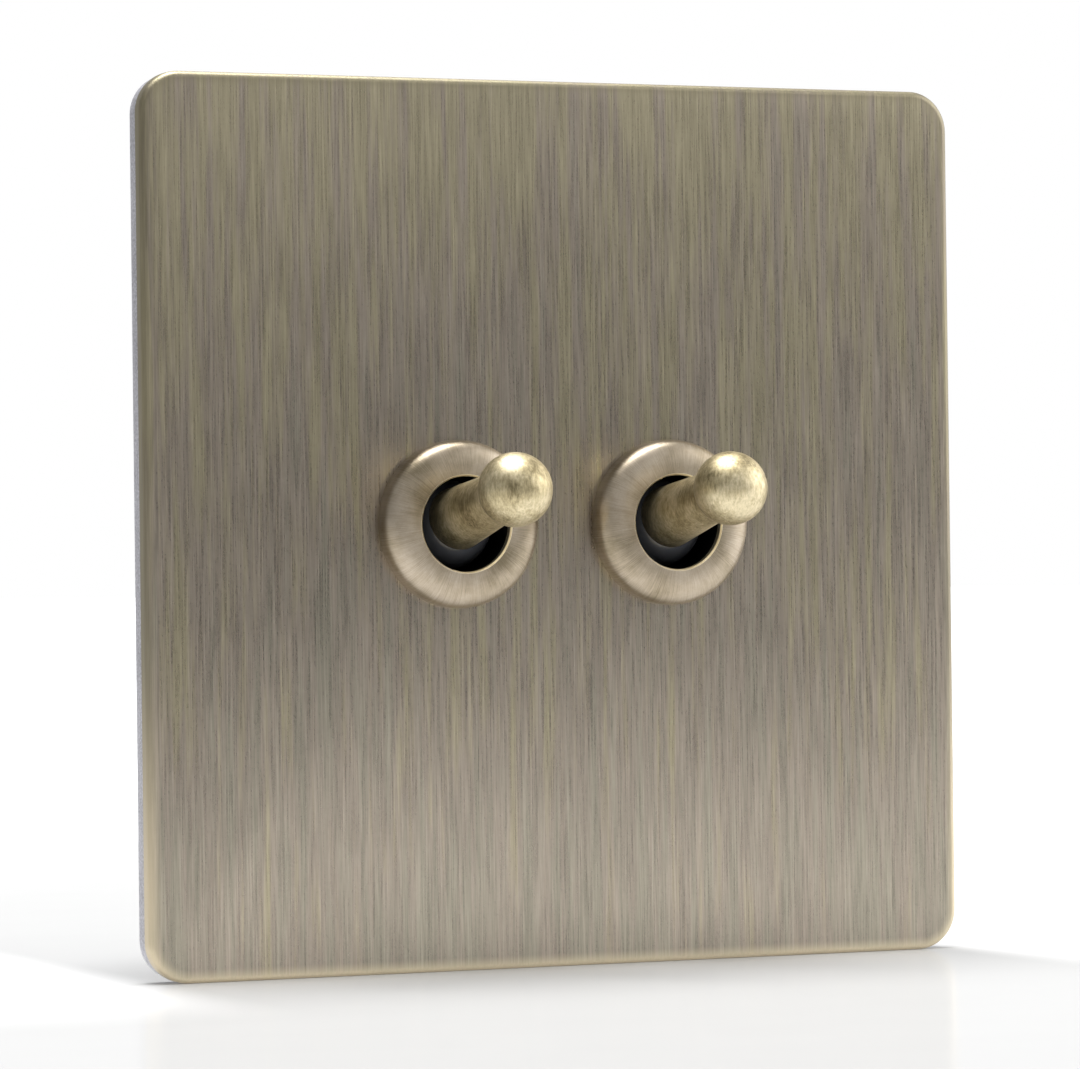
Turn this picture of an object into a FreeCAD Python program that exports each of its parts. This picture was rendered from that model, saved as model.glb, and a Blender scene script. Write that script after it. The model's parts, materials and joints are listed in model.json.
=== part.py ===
import FreeCAD, Part
import os
import re
import Sketcher

# Two-gang toggle wall switch on a square metal plate, in millimetres.
# The origin is the centre of the wall plane, +Y goes into the wall and +Z is up.
# Both levers are stored in their upper position.

Vector = FreeCAD.Vector
document = FreeCAD.newDocument("ToggleSwitch")

# Driving dimensions: each one is a cell of the sheet, under its own alias
sizes = {
    # front plate, back frame and the yoke that carries the mechanisms
    "plateSize": 86.0, "plateCorner": 4.0, "plateThick": 1.5, "plateEdge": 0.9,
    "frameDepth": 2.2, "frameInset": 0.2, "pryLong": 6.2, "pryHigh": 0.5, "pryDeep": 1.2,
    "yokeWide": 74.0, "yokeTall": 62.0, "yokeThick": 1.0, "yokeCorner": 3.0, "yokeInset": 0.1,
    "boxPitch": 60.3, "gangPitch": 22.5,
    "rivetRadius": 1.2, "rivetAcross": 33.0, "rivetUp": 26.0,
    # plate pins and the catches that hold them
    "catchSpot": 36.0, "catchRadius": 2.0, "pinRadius": 1.0, "pinLong": 1.6,
    # fixing screws and the earth terminal
    "studRadius": 1.75, "studLong": 22.0, "neckRadius": 2.05, "wideHead": 3.5, "slotWide": 0.8,
    "fixingHole": 2.3, "slotTravel": 1.5,
    "earthWide": 8.0, "earthDeep": 8.0, "earthTall": 7.0, "earthDrop": 27.0,
    "earthBore": 1.9, "earthBoreSpot": 4.2,
    # collar ring, threaded bushing, nut and washer
    "collarWall": 2.1, "collarHeight": 2.7, "collarRound": 2.0, "collarHole": 4.6,
    "collarLip": 0.8, "collarChamfer": 0.15,
    "threadRadius": 6.0, "bushBore": 4.7, "flangeWall": 2.5, "flangeThick": 1.2,
    "nutWall": 1.0, "washerThick": 0.5, "washerWall": 2.0,
    # lever, pivot pin and dust shield
    "leverTilt": 10.5, "pivotFront": 1.2, "leverReach": 16.95, "ballRadius": 3.55,
    "shaftTip": 2.25, "shaftRoot": 3.05, "rootSpot": 3.0, "hubBack": 3.0,
    "stemRadius": 1.5, "stemBack": 9.0, "ankleRadius": 1.0,
    "footReach": 12.0, "footRadius": 1.5, "footHalf": 3.0,
    "axleRadius": 0.9, "shieldRadius": 4.4, "shieldBack": 1.5,
    # housing shell and contact base
    "caseWide": 21.5, "caseTall": 42.0, "caseWall": 1.3, "caseFrontWall": 1.5, "floorThick": 1.4,
    "ribWide": 2.2, "ribTall": 18.0, "railWide": 1.9,
    "bossRadius": 2.4, "bossSpot": 10.2, "caseScrewRadius": 0.95, "caseHead": 1.9,
    "caseScrewGrip": 6.0, "headDeep": 1.2,
    # sliding carriage with its contact bridge, and the detent spring
    "carriageDeep": 5.0, "carriageTall": 9.0, "mouthDeep": 2.0, "slotFloor": 1.0,
    "contactRoom": 1.6, "bridgeThick": 0.4, "bridgeHalf": 6.5, "bridgeTall": 5.2,
    "noseRadius": 1.0, "noseHalf": 2.3, "padRadius": 1.0,
    "springThick": 0.4, "springHalf": 2.5, "springTall": 14.4, "humpHigh": 0.6,
    "humpTop": 0.8, "humpFoot": 3.6,
    # terminals
    "stripSpot": 5.0, "stripWide": 2.4, "stripThick": 0.6, "commonEnd": 5.0, "stripStart": 0.9,
    "blockWide": 7.0, "blockDeep": 6.0, "blockInner": 13.3, "blockOuter": 20.8,
    "wireBore": 1.7, "boreSpot": 2.3, "clampRadius": 1.5, "clampHead": 2.4,
    # clearances
    "runGap": 0.1, "slideGap": 0.25, "footGap": 0.05, "threadGap": 0.05, "axleGap": 0.05,
    "seatGap": 0.2, "holeGap": 0.3, "headGap": 0.5, "pressGap": 0.02, "contactGap": 0.05,
}

# Places worked out from the dimensions; Y grows towards the wall
places = {
    "plateBack": "-frameDepth",
    "plateFront": "plateBack - plateThick",
    "yokeBack": "-yokeInset",
    "yokeFront": "yokeBack - yokeThick",
    "collarFront": "plateFront - collarHeight",
    "collarRoof": "collarFront + collarLip",
    "collarRadius": "threadRadius + collarWall",
    "bushFront": "collarRoof + runGap",
    "flangeFront": "yokeBack + washerThick",
    "caseFront": "flangeFront + flangeThick",
    "pivotSpot": "-pivotFront",
    "axleHalf": "threadRadius - runGap",
    "nutRadius": "(threadRadius + nutWall) / cos(30deg)",
    "footSpot": "pivotSpot + footReach * cos(leverTilt * 1deg)",
    "footDrop": "footReach * sin(leverTilt * 1deg)",
    "carriageFront": "footSpot - mouthDeep",
    "carriageBack": "carriageFront + carriageDeep",
    "caseBack": "carriageBack + contactRoom",
    "blockBack": "caseBack + blockDeep",
    "baseBack": "blockBack + runGap + floorThick",
    "stripFront": "caseBack - stripThick",
    "caseInside": "caseWide / 2 - caseWall",
    "carriageHalf": "caseInside - slideGap",
    "boreDepth": "caseBack + boreSpot",
}

sheet = document.addObject("Spreadsheet::Sheet", "Sizes")
for row, (alias, amount) in enumerate(sizes.items(), 1):
    sheet.set(f"A{row}", alias)
    sheet.set(f"B{row}", str(amount))
    sheet.setAlias(f"B{row}", alias)
document.recompute()


def formula(text):
    """Turn names of sizes and places into an expression on the sheet."""
    def swap(found):
        word = found.group(0)
        if word in places:
            return "(" + formula(places[word]) + ")"
        return "Sizes." + word if word in sizes else word
    return re.sub(r"(?<![\w.])[A-Za-z]\w*", swap, str(text))


def number(text):
    """The present value of a formula."""
    return float(sheet.evalExpression(formula(text)))


def bind(thing, path, text):
    thing.setExpression(path, formula(text))


# Part primitives, with every size and place bound to the sheet

turns = {
    "x": FreeCAD.Rotation(Vector(0, 1, 0), 90),
    "y": FreeCAD.Rotation(Vector(1, 0, 0), -90),
    "z": FreeCAD.Rotation(),
}


def block(name, x, y, z):
    """A box between two formulas on each axis."""
    box = document.addObject("Part::Box", name)
    for axis, size, (low, high) in zip("xyz", ("Length", "Width", "Height"), (x, y, z)):
        bind(box, size, f"({high}) - ({low})")
        bind(box, f"Placement.Base.{axis}", low)
    return box


def lay(thing, along, low, spot):
    """Lay a round primitive along an axis, from low, at a spot on the other two axes."""
    thing.Placement = FreeCAD.Placement(Vector(), turns[along])
    bind(thing, f"Placement.Base.{along}", low)
    others = [axis for axis in "xyz" if axis != along]
    for axis, text in zip(others, spot):
        bind(thing, f"Placement.Base.{axis}", text)


def rod(name, radius, low, high, spot=(0, 0), along="y"):
    cylinder = document.addObject("Part::Cylinder", name)
    bind(cylinder, "Radius", radius)
    bind(cylinder, "Height", f"({high}) - ({low})")
    lay(cylinder, along, low, spot)
    return cylinder


def taper(name, radiusLow, radiusHigh, low, high):
    cone = document.addObject("Part::Cone", name)
    bind(cone, "Radius1", radiusLow)
    bind(cone, "Radius2", radiusHigh)
    bind(cone, "Height", f"({high}) - ({low})")
    lay(cone, "y", low, (0, 0))
    return cone


def ball(name, radius, y):
    sphere = document.addObject("Part::Sphere", name)
    bind(sphere, "Radius", radius)
    bind(sphere, "Placement.Base.y", y)
    return sphere


def join(name, pieces):
    fused = document.addObject("Part::MultiFuse", name)
    fused.Shapes = pieces
    fused.Refine = True
    return fused


def carve(name, solid, tools):
    cut = document.addObject("Part::Cut", name)
    cut.Base = solid
    cut.Tool = tools[0] if len(tools) == 1 else join(name + "Tools", tools)
    cut.Refine = True
    return cut


def group(name, pieces):
    compound = document.addObject("Part::Compound", name)
    compound.Links = pieces
    return compound


# PartDesign helpers: sketches on a body's own planes, fully constrained by the sheet

def faceSketch(body, name, y):
    """A sketch parallel to the wall: its own axes are X and Z, and it lies at y."""
    sketch = body.newObject("Sketcher::SketchObject", name)
    plane = next(item for item in body.Origin.OriginFeatures if item.Role == "XZ_Plane")
    sketch.AttachmentSupport = [(plane, "")]
    sketch.MapMode = "FlatFace"
    bind(sketch, "AttachmentOffset.Base.z", f"-({y})")
    return sketch


def planeSketch(body, name, role):
    sketch = body.newObject("Sketcher::SketchObject", name)
    plane = next(item for item in body.Origin.OriginFeatures if item.Role == role)
    sketch.AttachmentSupport = [(plane, "")]
    sketch.MapMode = "FlatFace"
    return sketch


def pin(sketch, geometry, point, spot):
    for kind, text in zip(("DistanceX", "DistanceY"), spot):
        rule = Sketcher.Constraint(kind, -1, 1, geometry, point, number(text))
        index = sketch.addConstraint(rule)
        bind(sketch, f"Constraints[{index}]", text)


def outline(sketch, corners):
    """A closed outline of straight lines through the corners."""
    first = sketch.GeometryCount
    spots = [Vector(number(across), number(up), 0) for across, up in corners]
    for here, there in zip(spots, spots[1:] + spots[:1]):
        sketch.addGeometry(Part.LineSegment(here, there), False)
    for index, corner in enumerate(corners):
        after = first + (index + 1) % len(corners)
        sketch.addConstraint(Sketcher.Constraint("Coincident", first + index, 2, after, 1))
        pin(sketch, first + index, 1, corner)


def rectangle(sketch, halfWide, halfTall):
    outline(sketch, [(f"-({halfWide})", f"-({halfTall})"), (halfWide, f"-({halfTall})"),
                     (halfWide, halfTall), (f"-({halfWide})", halfTall)])


def ring(sketch, radius, across=0, up=0):
    centre = Vector(number(across), number(up), 0)
    circle = Part.Circle(centre, Vector(0, 0, 1), number(radius))
    index = sketch.addGeometry(circle, False)
    pin(sketch, index, 3, (across, up))
    rule = sketch.addConstraint(Sketcher.Constraint("Radius", index, number(radius)))
    bind(sketch, f"Constraints[{rule}]", radius)


def slot(sketch, radius, left, right):
    """A slot with round ends whose centres lie at left and right, on the X axis."""
    size = number(radius)
    up = Vector(0, 0, 1)
    ends = [Vector(number(left), 0, 0), Vector(number(right), 0, 0)]
    quarter = FreeCAD.Units.Quantity("90 deg").getValueAs("rad").Value
    leftArc = Part.ArcOfCircle(Part.Circle(ends[0], up, size), quarter, 3 * quarter)
    rightArc = Part.ArcOfCircle(Part.Circle(ends[1], up, size), -quarter, quarter)
    lower = Part.LineSegment(ends[0] - Vector(0, size, 0), ends[1] - Vector(0, size, 0))
    upper = Part.LineSegment(ends[1] + Vector(0, size, 0), ends[0] + Vector(0, size, 0))
    first = sketch.GeometryCount
    for curve in (leftArc, lower, rightArc, upper):
        sketch.addGeometry(curve, False)
    for index in range(4):
        after = first + (index + 1) % 4
        sketch.addConstraint(Sketcher.Constraint("Tangent", first + index, 2, after, 1))
    for index, text in ((first, left), (first + 2, right)):
        pin(sketch, index, 3, (text, 0))
        rule = sketch.addConstraint(Sketcher.Constraint("Radius", index, size))
        bind(sketch, f"Constraints[{rule}]", radius)


def pad(body, name, sketch, length):
    feature = body.newObject("PartDesign::Pad", name)
    feature.Profile = sketch
    bind(feature, "Length", length)
    return feature


def pocket(body, name, sketch, depth):
    """A cut that starts at the sketch and goes towards the wall."""
    feature = body.newObject("PartDesign::Pocket", name)
    feature.Profile = sketch
    bind(feature, "Length", depth)
    return feature


def revolve(body, name, corners):
    """Turn an outline of (radius, y) corners about the Y axis."""
    sketch = planeSketch(body, name + "Sketch", "XY_Plane")
    outline(sketch, corners)
    feature = body.newObject("PartDesign::Revolution", name)
    feature.Profile = sketch
    feature.ReferenceAxis = (sketch, ["V_Axis"])
    feature.Angle = 360
    return feature


def soften(body, name, kind, size, wanted):
    """Round or chamfer the edges of the body that the test picks."""
    document.recompute()
    solid = body.Tip
    names = [f"Edge{count}" for count, edge in enumerate(solid.Shape.Edges, 1) if wanted(edge)]
    feature = body.newObject("PartDesign::" + kind, name)
    feature.Base = (solid, names)
    bind(feature, "Radius" if kind == "Fillet" else "Size", size)


def runsInward(edge):
    """True for a straight edge along Y, such as a plate's corner."""
    box = edge.BoundBox
    return box.XLength < 0.01 and box.ZLength < 0.01


def liesAt(y):
    level = number(y)
    return lambda edge: abs(edge.BoundBox.YMin - level) + abs(edge.BoundBox.YMax - level) < 0.01


def circleAt(y, radius):
    level, size = number(y), number(radius)
    return lambda edge: liesAt(level)(edge) and abs(edge.BoundBox.XMax - size) < 0.01


nodes = []


def node(label, thing, x=None):
    """Name a finished sub-part and, where it is built about x = 0, move it to its gang."""
    thing.Label = label
    if x is not None:
        bind(thing, "Placement.Base.x", x)
    nodes.append(thing)
    return thing


def fourCorners(across, up):
    return [(f"{side}({across})", f"{end}({up})") for side in ("-", "") for end in ("-", "")]


gangs = {"left": "-gangPitch / 2", "right": "gangPitch / 2"}
fixings = {"left": "-boxPitch / 2", "right": "boxPitch / 2"}


# Front plate: a sheet with rounded corners and a softened front edge

def frontPlate():
    body = document.addObject("PartDesign::Body", "FrontPlate")
    sheetOutline = faceSketch(body, "PlateOutline", "plateBack")
    rectangle(sheetOutline, "plateSize / 2", "plateSize / 2")
    pad(body, "PlatePad", sheetOutline, "plateThick")
    soften(body, "PlateCorners", "Fillet", "plateCorner", runsInward)
    soften(body, "PlateRim", "Fillet", "plateEdge", liesAt("plateFront"))
    holes = faceSketch(body, "PlateHoles", "plateFront")
    for across in gangs.values():
        ring(holes, "threadRadius + holeGap", across)
    pocket(body, "PlateCut", holes, "plateThick")
    node("front_plate", body)


# Back frame: carries the plate's catches, and lets the nuts and screw heads through

def backFrame():
    body = document.addObject("PartDesign::Body", "BackFrame")
    square = faceSketch(body, "FrameOutline", 0)
    rectangle(square, "plateSize / 2 - frameInset", "plateSize / 2 - frameInset")
    pad(body, "FramePad", square, "frameDepth")
    soften(body, "FrameCorners", "Fillet", "plateCorner - frameInset", runsInward)
    recess = faceSketch(body, "YokeRecess", "yokeFront")
    rectangle(recess, "yokeWide / 2 + seatGap", "yokeTall / 2 + seatGap")
    pocket(body, "RecessCut", recess, "yokeThick + yokeInset")
    holes = faceSketch(body, "FrameHoles", "plateBack")
    for across in gangs.values():
        ring(holes, "nutRadius + headGap", across)
    for across in fixings.values():
        ring(holes, "wideHead + headGap", across)
    for across, up in fourCorners("catchSpot", "catchSpot"):
        ring(holes, "catchRadius + threadGap", across, up)
    for across, up in fourCorners("rivetAcross", "rivetUp"):
        ring(holes, "rivetRadius + pressGap", across, up)
    pocket(body, "FrameCut", holes, "frameDepth")
    pry = faceSketch(body, "PrySlot", "plateBack")
    inner = "frameInset + pryDeep - plateSize / 2"
    outline(pry, [("-plateSize / 2", "-pryLong / 2"), (inner, "-pryLong / 2"),
                  (inner, "pryLong / 2"), ("-plateSize / 2", "pryLong / 2")])
    pocket(body, "PryCut", pry, "pryHigh")
    node("back_frame", body)


# Yoke: the steel sheet that both mechanisms and both fixing screws hold on to

def yoke():
    body = document.addObject("PartDesign::Body", "Yoke")
    strap = faceSketch(body, "YokeOutline", "yokeBack")
    rectangle(strap, "yokeWide / 2", "yokeTall / 2")
    pad(body, "YokePad", strap, "yokeThick")
    soften(body, "YokeCorners", "Fillet", "yokeCorner", runsInward)
    holes = faceSketch(body, "YokeHoles", "yokeFront")
    for across in gangs.values():
        ring(holes, "threadRadius + seatGap", across)
    ring(holes, "fixingHole", fixings["left"])
    slot(holes, "fixingHole", "boxPitch / 2 - slotTravel", "boxPitch / 2 + slotTravel")
    for across, up in fourCorners("rivetAcross", "rivetUp"):
        ring(holes, "rivetRadius + pressGap", across, up)
    pocket(body, "YokeCut", holes, "yokeThick")
    node("yoke", body)


def platePins():
    rivets = []
    pins = []
    catches = []
    for count, (x, z) in enumerate(fourCorners("rivetAcross", "rivetUp")):
        rivets.append(rod(f"Rivet{count}", "rivetRadius", "plateBack", "yokeBack", (x, z)))
    for count, (x, z) in enumerate(fourCorners("catchSpot", "catchSpot")):
        pins.append(rod(f"PlatePin{count}", "pinRadius", "plateBack", "plateBack + pinLong", (x, z)))
        outer = rod(f"CatchBody{count}", "catchRadius", "plateBack + runGap", "-2 * seatGap", (x, z))
        inner = rod(f"CatchHole{count}", "pinRadius + runGap", "plateBack", 0, (x, z))
        catches.append(carve(f"Catch{count}", outer, [inner]))
    node("yoke_rivets", group("Rivets", rivets))
    node("plate_pins", group("PlatePins", pins))
    node("pin_catches", group("Catches", catches))


def screw(name, head, shanks, spot=(0, 0)):
    """A slotted screw along Y: head and shanks are (radius, low, high); the slot is outside."""
    radius, low, high = head
    pieces = [rod(f"{name}Head", radius, low, high, spot)]
    for count, (size, start, end) in enumerate(shanks):
        pieces.append(rod(f"{name}Shank{count}", size, start, end, spot))
    solid = join(f"{name}Solid", pieces)
    inward = number(shanks[0][1]) > number(low)
    outer, inner = (low, high) if inward else (high, low)
    middle = f"(({outer}) + ({inner})) / 2"
    depth = (low, middle) if inward else (middle, high)
    x, z = spot
    groove = block(f"{name}Slot", (f"{x} - ({radius})", f"{x} + {radius}"), depth,
                   (f"{z} - slotWide / 2", f"{z} + slotWide / 2"))
    return carve(name, solid, [groove])


def fixingScrews():
    screws = []
    for side, x in fixings.items():
        head = ("wideHead", "plateBack + runGap", "yokeFront")
        shanks = [("neckRadius", "yokeFront", 0), ("studRadius", 0, "studLong")]
        screws.append(screw(f"Fixing{side}", head, shanks, (x, 0)))
    node("fixing_screws", group("FixingScrews", screws))


# Earth terminal on the rear of the yoke, with its wire bore along X

def earthTerminal():
    half = "earthWide / 2"
    body = block("EarthBody", ("-" + half, half), ("yokeBack", "earthDeep"),
                 ("-earthDrop - earthTall / 2", "earthTall / 2 - earthDrop"))
    spot = ("earthBoreSpot", "-earthDrop")
    bore = rod("EarthBore", "earthBore", "-earthWide", "earthWide", spot, "x")
    thread = rod("EarthThread", "clampRadius + threadGap", "earthBoreSpot", "2 * earthDeep",
                 (0, "-earthDrop"))
    node("earth_block", carve("EarthBlock", body, [bore, thread]))
    head = ("clampHead", "earthDeep", "earthDeep + headDeep")
    shank = ("clampRadius", "earthBoreSpot + earthBore + runGap", "earthDeep")
    node("earth_screw", screw("EarthScrew", head, [shank], (0, "-earthDrop")))


# Collar ring: screws on the bushing's thread and clamps the front plate

def collar(side, x):
    body = document.addObject("PartDesign::Body", f"{side}Collar")
    cavity = "threadRadius + threadGap"
    revolve(body, f"{side}CollarTurn", [
        (cavity, "plateFront"), ("collarRadius", "plateFront"), ("collarRadius", "collarFront"),
        ("collarHole", "collarFront"), ("collarHole", "collarRoof"), (cavity, "collarRoof")])
    soften(body, f"{side}CollarRound", "Fillet", "collarRound", circleAt("collarFront", "collarRadius"))
    soften(body, f"{side}CollarLip", "Chamfer", "collarChamfer", circleAt("collarFront", "collarHole"))
    node(f"{side}_collar", body, x)


# Bushing with its flange, the nut and washer that clamp it in the yoke, and the pivot pin

def bushing(side, x):
    body = document.addObject("PartDesign::Body", f"{side}BushingBody")
    flange = "threadRadius + flangeWall"
    revolve(body, f"{side}BushingTurn", [
        ("bushBore", "bushFront"), ("threadRadius", "bushFront"), ("threadRadius", "flangeFront"),
        (flange, "flangeFront"), (flange, "caseFront"), ("bushBore", "caseFront")])
    hole = rod(f"{side}BushingHole", "axleRadius + pressGap", "-threadRadius * 1.5",
               "threadRadius * 1.5", ("pivotSpot", 0), "x")
    node(f"{side}_bushing", carve(f"{side}Bushing", body, [hole]), x)
    hexagon = document.addObject("Part::Prism", f"{side}Hexagon")
    hexagon.Polygon = 6
    bind(hexagon, "Circumradius", "nutRadius")
    bind(hexagon, "Height", "yokeFront - (plateBack + seatGap)")
    lay(hexagon, "y", "plateBack + seatGap", (0, 0))
    thread = rod(f"{side}NutHole", "threadRadius + threadGap", "2 * plateBack", 0)
    node(f"{side}_clamp_nut", carve(f"{side}Nut", hexagon, [thread]), x)
    disc = rod(f"{side}WasherDisc", "threadRadius + washerWall", "yokeBack", "flangeFront")
    eye = rod(f"{side}WasherEye", "threadRadius + runGap", "-washerThick", "2 * washerThick")
    node(f"{side}_lock_washer", carve(f"{side}Washer", disc, [eye]), x)
    axle = rod(f"{side}Axle", "axleRadius", "-axleHalf", "axleHalf", ("pivotSpot", 0), "x")
    holder = group(f"{side}AxleHolder", [axle])
    node(f"{side}_pivot_pin", holder, x)


def tilt(thing):
    """Swing a lever piece, built straight about its pivot, to its upper position."""
    upward = FreeCAD.Rotation(Vector(-1, 0, 0), number("leverTilt"))
    thing.Placement = FreeCAD.Placement(Vector(), upward)
    bind(thing, "Placement.Rotation.Angle", "leverTilt")
    bind(thing, "Placement.Base.y", "pivotSpot")


# Lever: ball, tapered shaft, hub on the pivot pin, stem and the foot that moves the carriage

def lever(side, x):
    pieces = [
        ball(f"{side}Ball", "ballRadius", "-leverReach"),
        taper(f"{side}Shaft", "shaftTip", "shaftRoot", "-leverReach", "-rootSpot"),
        rod(f"{side}Hub", "shaftRoot", "-rootSpot", "hubBack"),
        rod(f"{side}Stem", "stemRadius", "hubBack", "stemBack"),
        rod(f"{side}Ankle", "ankleRadius", "stemBack", "footReach"),
        rod(f"{side}Foot", "footRadius", "-footHalf", "footHalf", ("footReach", 0), "x"),
    ]
    eye = rod(f"{side}LeverEye", "axleRadius + axleGap", "-bushBore", "bushBore", (0, 0), "x")
    handle = carve(f"{side}Lever", join(f"{side}LeverSolid", pieces), [eye])
    tilt(handle)
    node(f"{side}_lever", handle, x)


# Dust shield: a dome on the lever's hub that closes the bushing at every angle

def dustShield(side, x):
    dome = ball(f"{side}Dome", "shieldRadius", 0)
    hub = rod(f"{side}DomeHub", "shaftRoot + pressGap", "-2 * shieldRadius", "2 * shieldRadius")
    eye = rod(f"{side}DomeEye", "axleRadius + axleGap", "-2 * shieldRadius", "2 * shieldRadius",
              (0, 0), "x")
    reach = ("-2 * shieldRadius", "2 * shieldRadius")
    rear = block(f"{side}DomeRear", reach, ("shieldBack", "2 * shieldRadius"), reach)
    shield = carve(f"{side}Shield", dome, [hub, eye, rear])
    tilt(shield)
    node(f"{side}_dust_shield", shield, x)


# Housing shell: the moulded box in front of the contacts, with ribs that guide the carriage

def housingShell(side, x):
    half = ("-caseWide / 2", "caseWide / 2")
    outer = block(f"{side}ShellOuter", half, ("caseFront", "caseBack"),
                  ("-caseTall / 2", "caseTall / 2"))
    inner = block(f"{side}ShellInner", ("-caseInside", "caseInside"),
                  ("caseFront + caseFrontWall", "caseBack + caseWall"),
                  ("caseWall - caseTall / 2", "caseTall / 2 - caseWall"))
    pieces = [carve(f"{side}ShellBox", outer, [inner])]
    for sign in ("-", ""):
        ends = sorted((f"{sign}(caseWide / 2 - caseWall / 2)", f"{sign}(caseInside - ribWide)"),
                      key=number)
        pieces.append(block(f"{side}Rib{len(pieces)}", ends,
                            ("caseFront + caseFrontWall / 2", "carriageFront - runGap"),
                            ("-ribTall / 2", "ribTall / 2")))
    holes = [rod(f"{side}ShellEye", "bushBore", 0, "caseFront + 2 * caseFrontWall")]
    for sign in ("-", ""):
        spot = (0, f"{sign}bossSpot")
        pieces.append(rod(f"{side}Boss{len(pieces)}", "bossRadius", "caseFront + caseFrontWall / 2",
                          "caseBack", spot))
        holes.append(rod(f"{side}Pilot{len(holes)}", "caseScrewRadius + threadGap",
                         "caseBack - caseScrewGrip - seatGap", "caseBack + caseWall", spot))
    node(f"{side}_housing_shell", carve(f"{side}Shell", join(f"{side}ShellSolid", pieces), holes), x)


# Terminals: a strip that ends as the fixed contact, and a block with a wire bore along Z.
# Each is (sign of x, sign of z, z where its contact starts).

terminals = {
    "com": ("-", "", "-commonEnd"),
    "up": ("", "", "stripStart"),
    "down": ("", "-", "stripStart"),
}


def mirrored(sign, low, high):
    """A span, on the other side of zero where the sign is minus."""
    return (f"-({high})", f"-({low})") if sign else (low, high)


def terminal(side, x, name):
    xSign, zSign, start = terminals[name]
    tag = f"{side}{name}"
    strip = block(f"{tag}Strip", mirrored(xSign, "stripSpot - stripWide / 2", "stripSpot + stripWide / 2"),
                  ("stripFront", "caseBack"), mirrored(zSign, start, "blockOuter - 2 * caseWall"))
    body = block(f"{tag}Body", mirrored(xSign, "stripSpot - blockWide / 2", "stripSpot + blockWide / 2"),
                 ("caseBack", "blockBack"), mirrored(zSign, "blockInner", "blockOuter"))
    low, high = mirrored(zSign, "blockInner - blockDeep", "blockOuter + blockDeep")
    bore = rod(f"{tag}Bore", "wireBore", low, high, (f"{xSign}stripSpot", "boreDepth"), "z")
    thread = rod(f"{tag}Thread", "clampRadius + threadGap", "boreDepth", "blockBack + blockDeep",
                 (f"{xSign}stripSpot", f"{zSign}(blockInner + blockOuter) / 2"))
    solid = join(f"{tag}Solid", [strip, body])
    node(f"{side}_{name}_terminal", carve(f"{tag}Terminal", solid, [bore, thread]), x)


def terminalScrews(side, x):
    screws = []
    for name, (xSign, zSign, start) in terminals.items():
        head = ("clampHead", "blockBack", "blockBack + headDeep")
        shank = ("clampRadius", "boreDepth + wireBore + runGap", "blockBack")
        spot = (f"{xSign}stripSpot", f"{zSign}(blockInner + blockOuter) / 2")
        screws.append(screw(f"{side}{name}Clamp", head, [shank], spot))
    node(f"{side}_terminal_screws", group(f"{side}Clamps", screws), x)


# Contact base: closes the shell, holds the terminals in pockets and guides the carriage

def contactBase(side, x):
    pieces = [block(f"{side}BaseBody", ("-caseWide / 2", "caseWide / 2"), ("caseBack", "baseBack"),
                    ("-caseTall / 2", "caseTall / 2"))]
    for sign in ("-", ""):
        ends = mirrored(sign, "caseInside - railWide", "caseInside - runGap")
        pieces.append(block(f"{side}Rail{len(pieces)}", ends,
                            ("carriageBack + runGap", "caseBack + floorThick"),
                            ("-ribTall / 2", "ribTall / 2")))
    cuts = []
    for name, (xSign, zSign, start) in terminals.items():
        wide = mirrored(xSign, "stripSpot - blockWide / 2 - seatGap",
                        "stripSpot + blockWide / 2 + seatGap")
        tall = mirrored(zSign, "blockInner - seatGap", "caseTall / 2 + caseWall")
        cuts.append(block(f"{side}{name}Pocket", wide, ("caseBack - caseWall", "blockBack + runGap"),
                          tall))
        spot = (f"{xSign}stripSpot", f"{zSign}(blockInner + blockOuter) / 2")
        cuts.append(rod(f"{side}{name}Access", "clampHead + holeGap", "blockBack",
                        "baseBack + caseWall", spot))
    for sign in ("-", ""):
        spot = (0, f"{sign}bossSpot")
        cuts.append(rod(f"{side}ScrewWay{len(cuts)}", "caseScrewRadius + seatGap", "carriageBack",
                        "baseBack + caseWall", spot))
        cuts.append(rod(f"{side}HeadWay{len(cuts)}", "caseHead + seatGap",
                        "baseBack - 2 * headDeep", "baseBack + caseWall", spot))
    node(f"{side}_contact_base", carve(f"{side}Base", join(f"{side}BaseSolid", pieces), cuts), x)


def caseScrews(side, x):
    screws = []
    for count, sign in enumerate(("-", "")):
        head = ("caseHead", "baseBack - 2 * headDeep", "baseBack - headDeep")
        shank = ("caseScrewRadius", "caseBack - caseScrewGrip", "baseBack - 2 * headDeep")
        screws.append(screw(f"{side}CaseScrew{count}", head, [shank], (0, f"{sign}bossSpot")))
    node(f"{side}_case_screws", group(f"{side}CaseScrews", screws), x)


# Detent spring: a leaf on the base whose hump the carriage's nose snaps over

def detentSpring(side, x):
    body = document.addObject("PartDesign::Body", f"{side}Spring")
    leaf = planeSketch(body, f"{side}Leaf", "YZ_Plane")
    front = "caseBack - springThick"
    half = [(front, "springTall / 2"), (front, "humpFoot / 2"),
            ("caseBack - springThick - humpHigh", "humpTop / 2")]
    under = [("caseBack - humpHigh", "humpTop / 2"), ("caseBack", "humpFoot / 2"),
             ("caseBack", "springTall / 2")]
    upper = [(y, f"-({z})") for y, z in half] + half[::-1]
    lower = under[::-1] + [(y, f"-({z})") for y, z in under]
    outline(leaf, upper + lower)
    feature = pad(body, f"{side}LeafPad", leaf, "2 * springHalf")
    feature.Midplane = True
    node(f"{side}_detent_spring", body, x)


# Carriage: driven up and down by the lever's foot, with a nose that rides over the spring

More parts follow.
